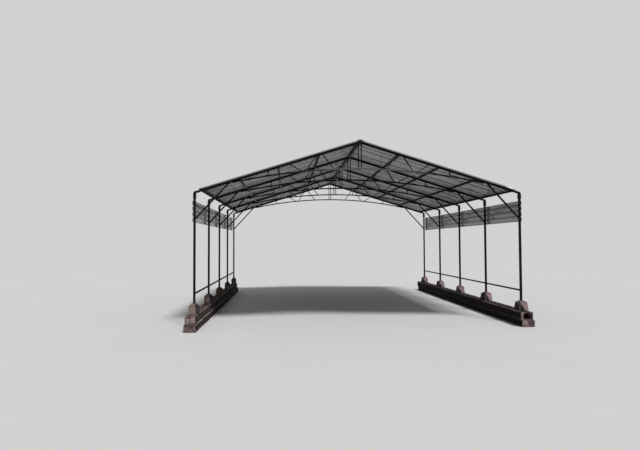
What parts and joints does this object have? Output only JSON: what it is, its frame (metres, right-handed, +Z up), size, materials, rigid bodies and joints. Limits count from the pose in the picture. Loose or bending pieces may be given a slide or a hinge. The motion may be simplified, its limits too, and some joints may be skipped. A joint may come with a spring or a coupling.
{
  "type": "carport",
  "caption": "Open gable carport of square steel tube on timber sills and tapered pier blocks, with trussed frames and a ribbed sheet roof.",
  "frame": {"origin": "on the ground, midway between the two sills and midway between the end frames", "axes": "+X across the bay towards the right-hand posts, +Y along the ridge towards the back, +Z up"},
  "size_m": [5.6545, 6.776, 3.0995],
  "materials": {
    "black_tube": "satin black paint",
    "roof_sheet": "weathered galvanised sheet",
    "ridge_trim": "dark folded sheet",
    "weathered_timber": "weathered dark timber",
    "stained_concrete": "rough stained concrete"
  },
  "bodies": {
    "root": {"base_timber_left_lower": "weathered_timber", "base_timber_left_upper": "weathered_timber", "base_timber_right_lower": "weathered_timber", "base_timber_right_upper": "weathered_timber", "eave_purlin_left": "black_tube", "eave_purlin_right": "black_tube", "knee_braces_left": "black_tube", "knee_braces_right": "black_tube", "low_rail_left": "black_tube", "low_rail_right": "black_tube", "pier_blocks_left": "stained_concrete", "pier_blocks_right": "stained_concrete", "post_left_1": "black_tube", "post_left_2": "black_tube", "post_left_3": "black_tube", "post_left_4": "black_tube", "post_left_5": "black_tube", "post_right_1": "black_tube", "post_right_2": "black_tube", "post_right_3": "black_tube", "post_right_4": "black_tube", "post_right_5": "black_tube", "purlins_left": "black_tube", "purlins_right": "black_tube", "rafter_left_1": "black_tube", "rafter_left_2": "black_tube", "rafter_left_3": "black_tube", "rafter_left_4": "black_tube", "rafter_left_5": "black_tube", "rafter_right_1": "black_tube", "rafter_right_2": "black_tube", "rafter_right_3": "black_tube", "rafter_right_4": "black_tube", "rafter_right_5": "black_tube", "ridge_cap": "ridge_trim", "ridge_purlin": "black_tube", "roof_left": "roof_sheet", "roof_right": "roof_sheet", "side_band_left": "roof_sheet", "side_band_right": "roof_sheet", "truss_1": "black_tube", "truss_2": "black_tube", "truss_3": "black_tube", "truss_4": "black_tube", "truss_5": "black_tube"}
  },
  "joints": []
}
